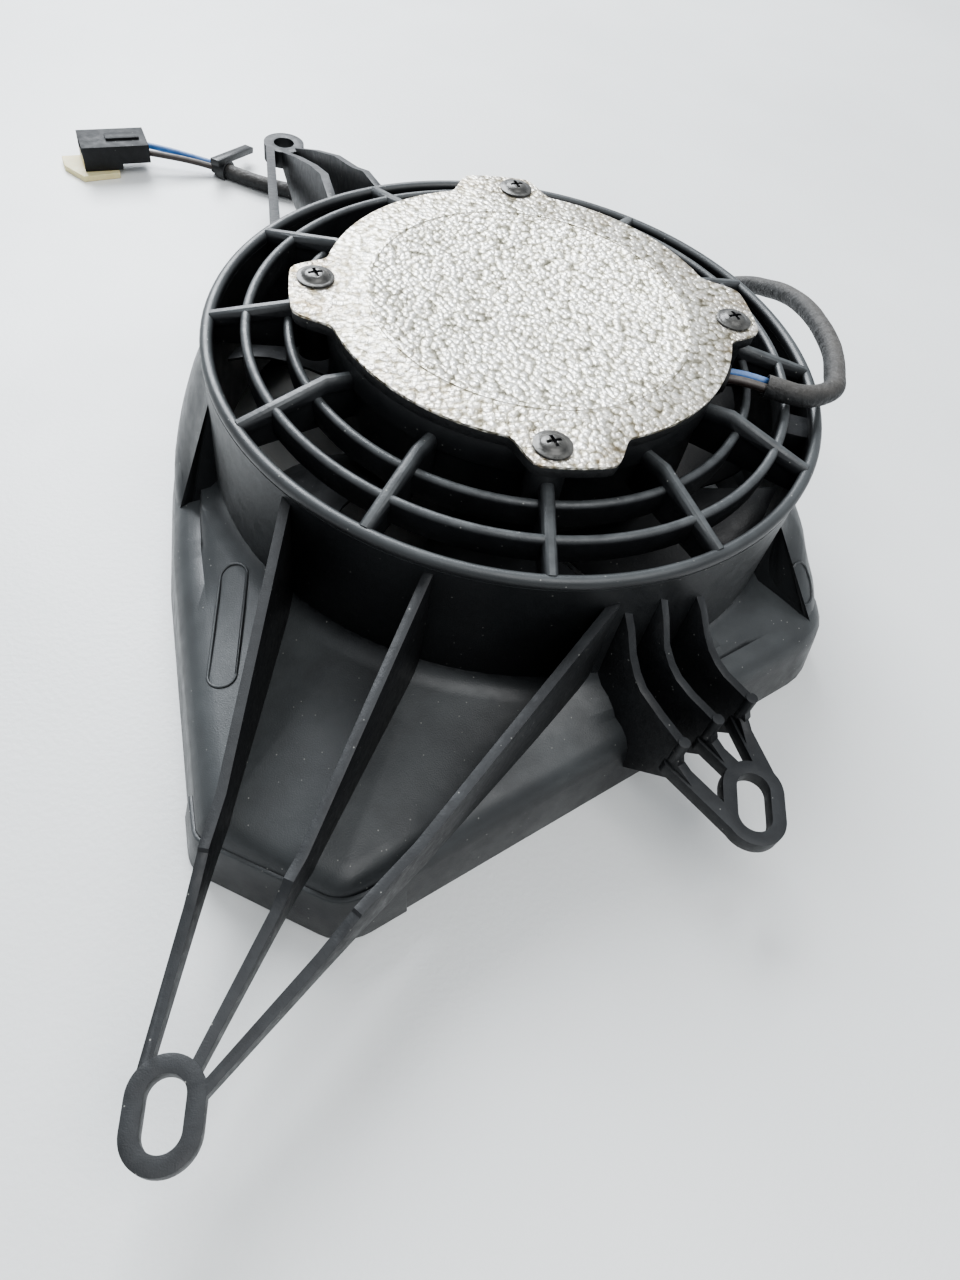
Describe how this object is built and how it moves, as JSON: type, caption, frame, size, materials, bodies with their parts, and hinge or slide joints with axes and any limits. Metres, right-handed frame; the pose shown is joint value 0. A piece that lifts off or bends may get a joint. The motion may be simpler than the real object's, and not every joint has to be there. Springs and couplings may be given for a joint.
{
  "type": "axial cooling fan",
  "caption": "Guarded axial duct fan with an off-centre air plenum, foil-shielded motor, slotted mounting arms and a flying lead with plug.",
  "frame": {"origin": "on the fan's axis, in the plane of the plenum's lower rim, where the duct opens", "axes": "+Z along the fan's axis towards the motor and heat shield; +Y along the long arm's slot, towards the rear arm; +X to the short arm's side"},
  "size_m": [0.2887, 0.421, 0.0849],
  "materials": {
    "black_nylon": "glass-filled nylon 6.6, fine spark-eroded grain, slightly dusty",
    "shield_foil": "pebbled aluminium foil, bright, yellowed at the edge",
    "backing_black": "smooth black moulding",
    "black_screw": "black-coated steel",
    "plated_steel": "zinc-plated pressed steel",
    "ferrite": "dark grey ferrite",
    "card_brown": "brown phenolic board",
    "carbon": "pressed carbon",
    "spring_steel": "bright spring steel",
    "bronze": "sintered bronze",
    "bearing_steel": "ground bearing steel",
    "lamination": "stacked steel sheet",
    "winding": "enamelled copper wire",
    "copper": "turned copper",
    "impeller_black": "black moulded nylon",
    "rubber_black": "moulded rubber",
    "lead_insulation": "blue and black lead insulation",
    "sheath_black": "dusty soft PVC sleeve",
    "clip_black": "smooth black nylon",
    "seal_brown": "silicone rubber",
    "terminal_tin": "tin-plated brass",
    "plug_black": "smooth black moulding",
    "lock_cream": "natural unpigmented nylon"
  },
  "bodies": {
    "housing": {"shroud_plenum": "black_nylon", "side_ramps": "black_nylon", "nose_band": "black_nylon", "shroud_ring": "black_nylon", "guard_grille": "black_nylon", "motor_cup": "black_nylon", "long_arm": "black_nylon", "short_arm": "black_nylon", "rear_arm": "black_nylon", "cable_guide": "black_nylon", "heat_shield": "shield_foil", "shield_backing": "backing_black", "shield_screws": "black_screw", "motor_can": "plated_steel", "can_screws": "plated_steel", "motor_end_plate": "plated_steel", "magnets": "ferrite", "brush_card": "card_brown", "brushes": "carbon", "brush_springs": "spring_steel", "noise_chokes": "ferrite", "rear_bush": "bronze", "wave_washer": "spring_steel", "bearing_outer_race": "bearing_steel", "lead_gland": "rubber_black", "motor_leads": "lead_insulation", "cable_sheath": "sheath_black", "cable_clip": "clip_black", "plug_leads": "lead_insulation", "wire_seals": "seal_brown", "plug_terminals": "terminal_tin", "plug_housing": "plug_black"},
    "rotor": {"bearing_inner_race": "bearing_steel", "motor_shaft": "bearing_steel", "armature_core": "lamination", "armature_windings": "winding", "commutator": "copper", "impeller": "impeller_black", "drive_pin": "bearing_steel", "hub_clip": "spring_steel"},
    "ball_set": {"bearing_balls": "bearing_steel"},
    "lock": {"plug_lock": "lock_cream"}
  },
  "joints": [
    {"name": "rotor_spin", "type": "hinge", "parent": "housing", "child": "rotor", "pos_m": [0, 0, 0.045], "axis": [0, 0, 1], "continuous": true},
    {"name": "ball_spin", "type": "hinge", "parent": "housing", "child": "ball_set", "pos_m": [0, 0, 0.05], "axis": [0, 0, 1], "continuous": true},
    {"name": "lock_slide", "type": "slide", "parent": "housing", "child": "lock", "axis": [-0.9397, -0.342, 0], "range_m": [0, 0.003]}
  ],
  "couplings": [
    {"joint": "ball_spin", "follows": "rotor_spin", "ratio": 0.3667}
  ]
}
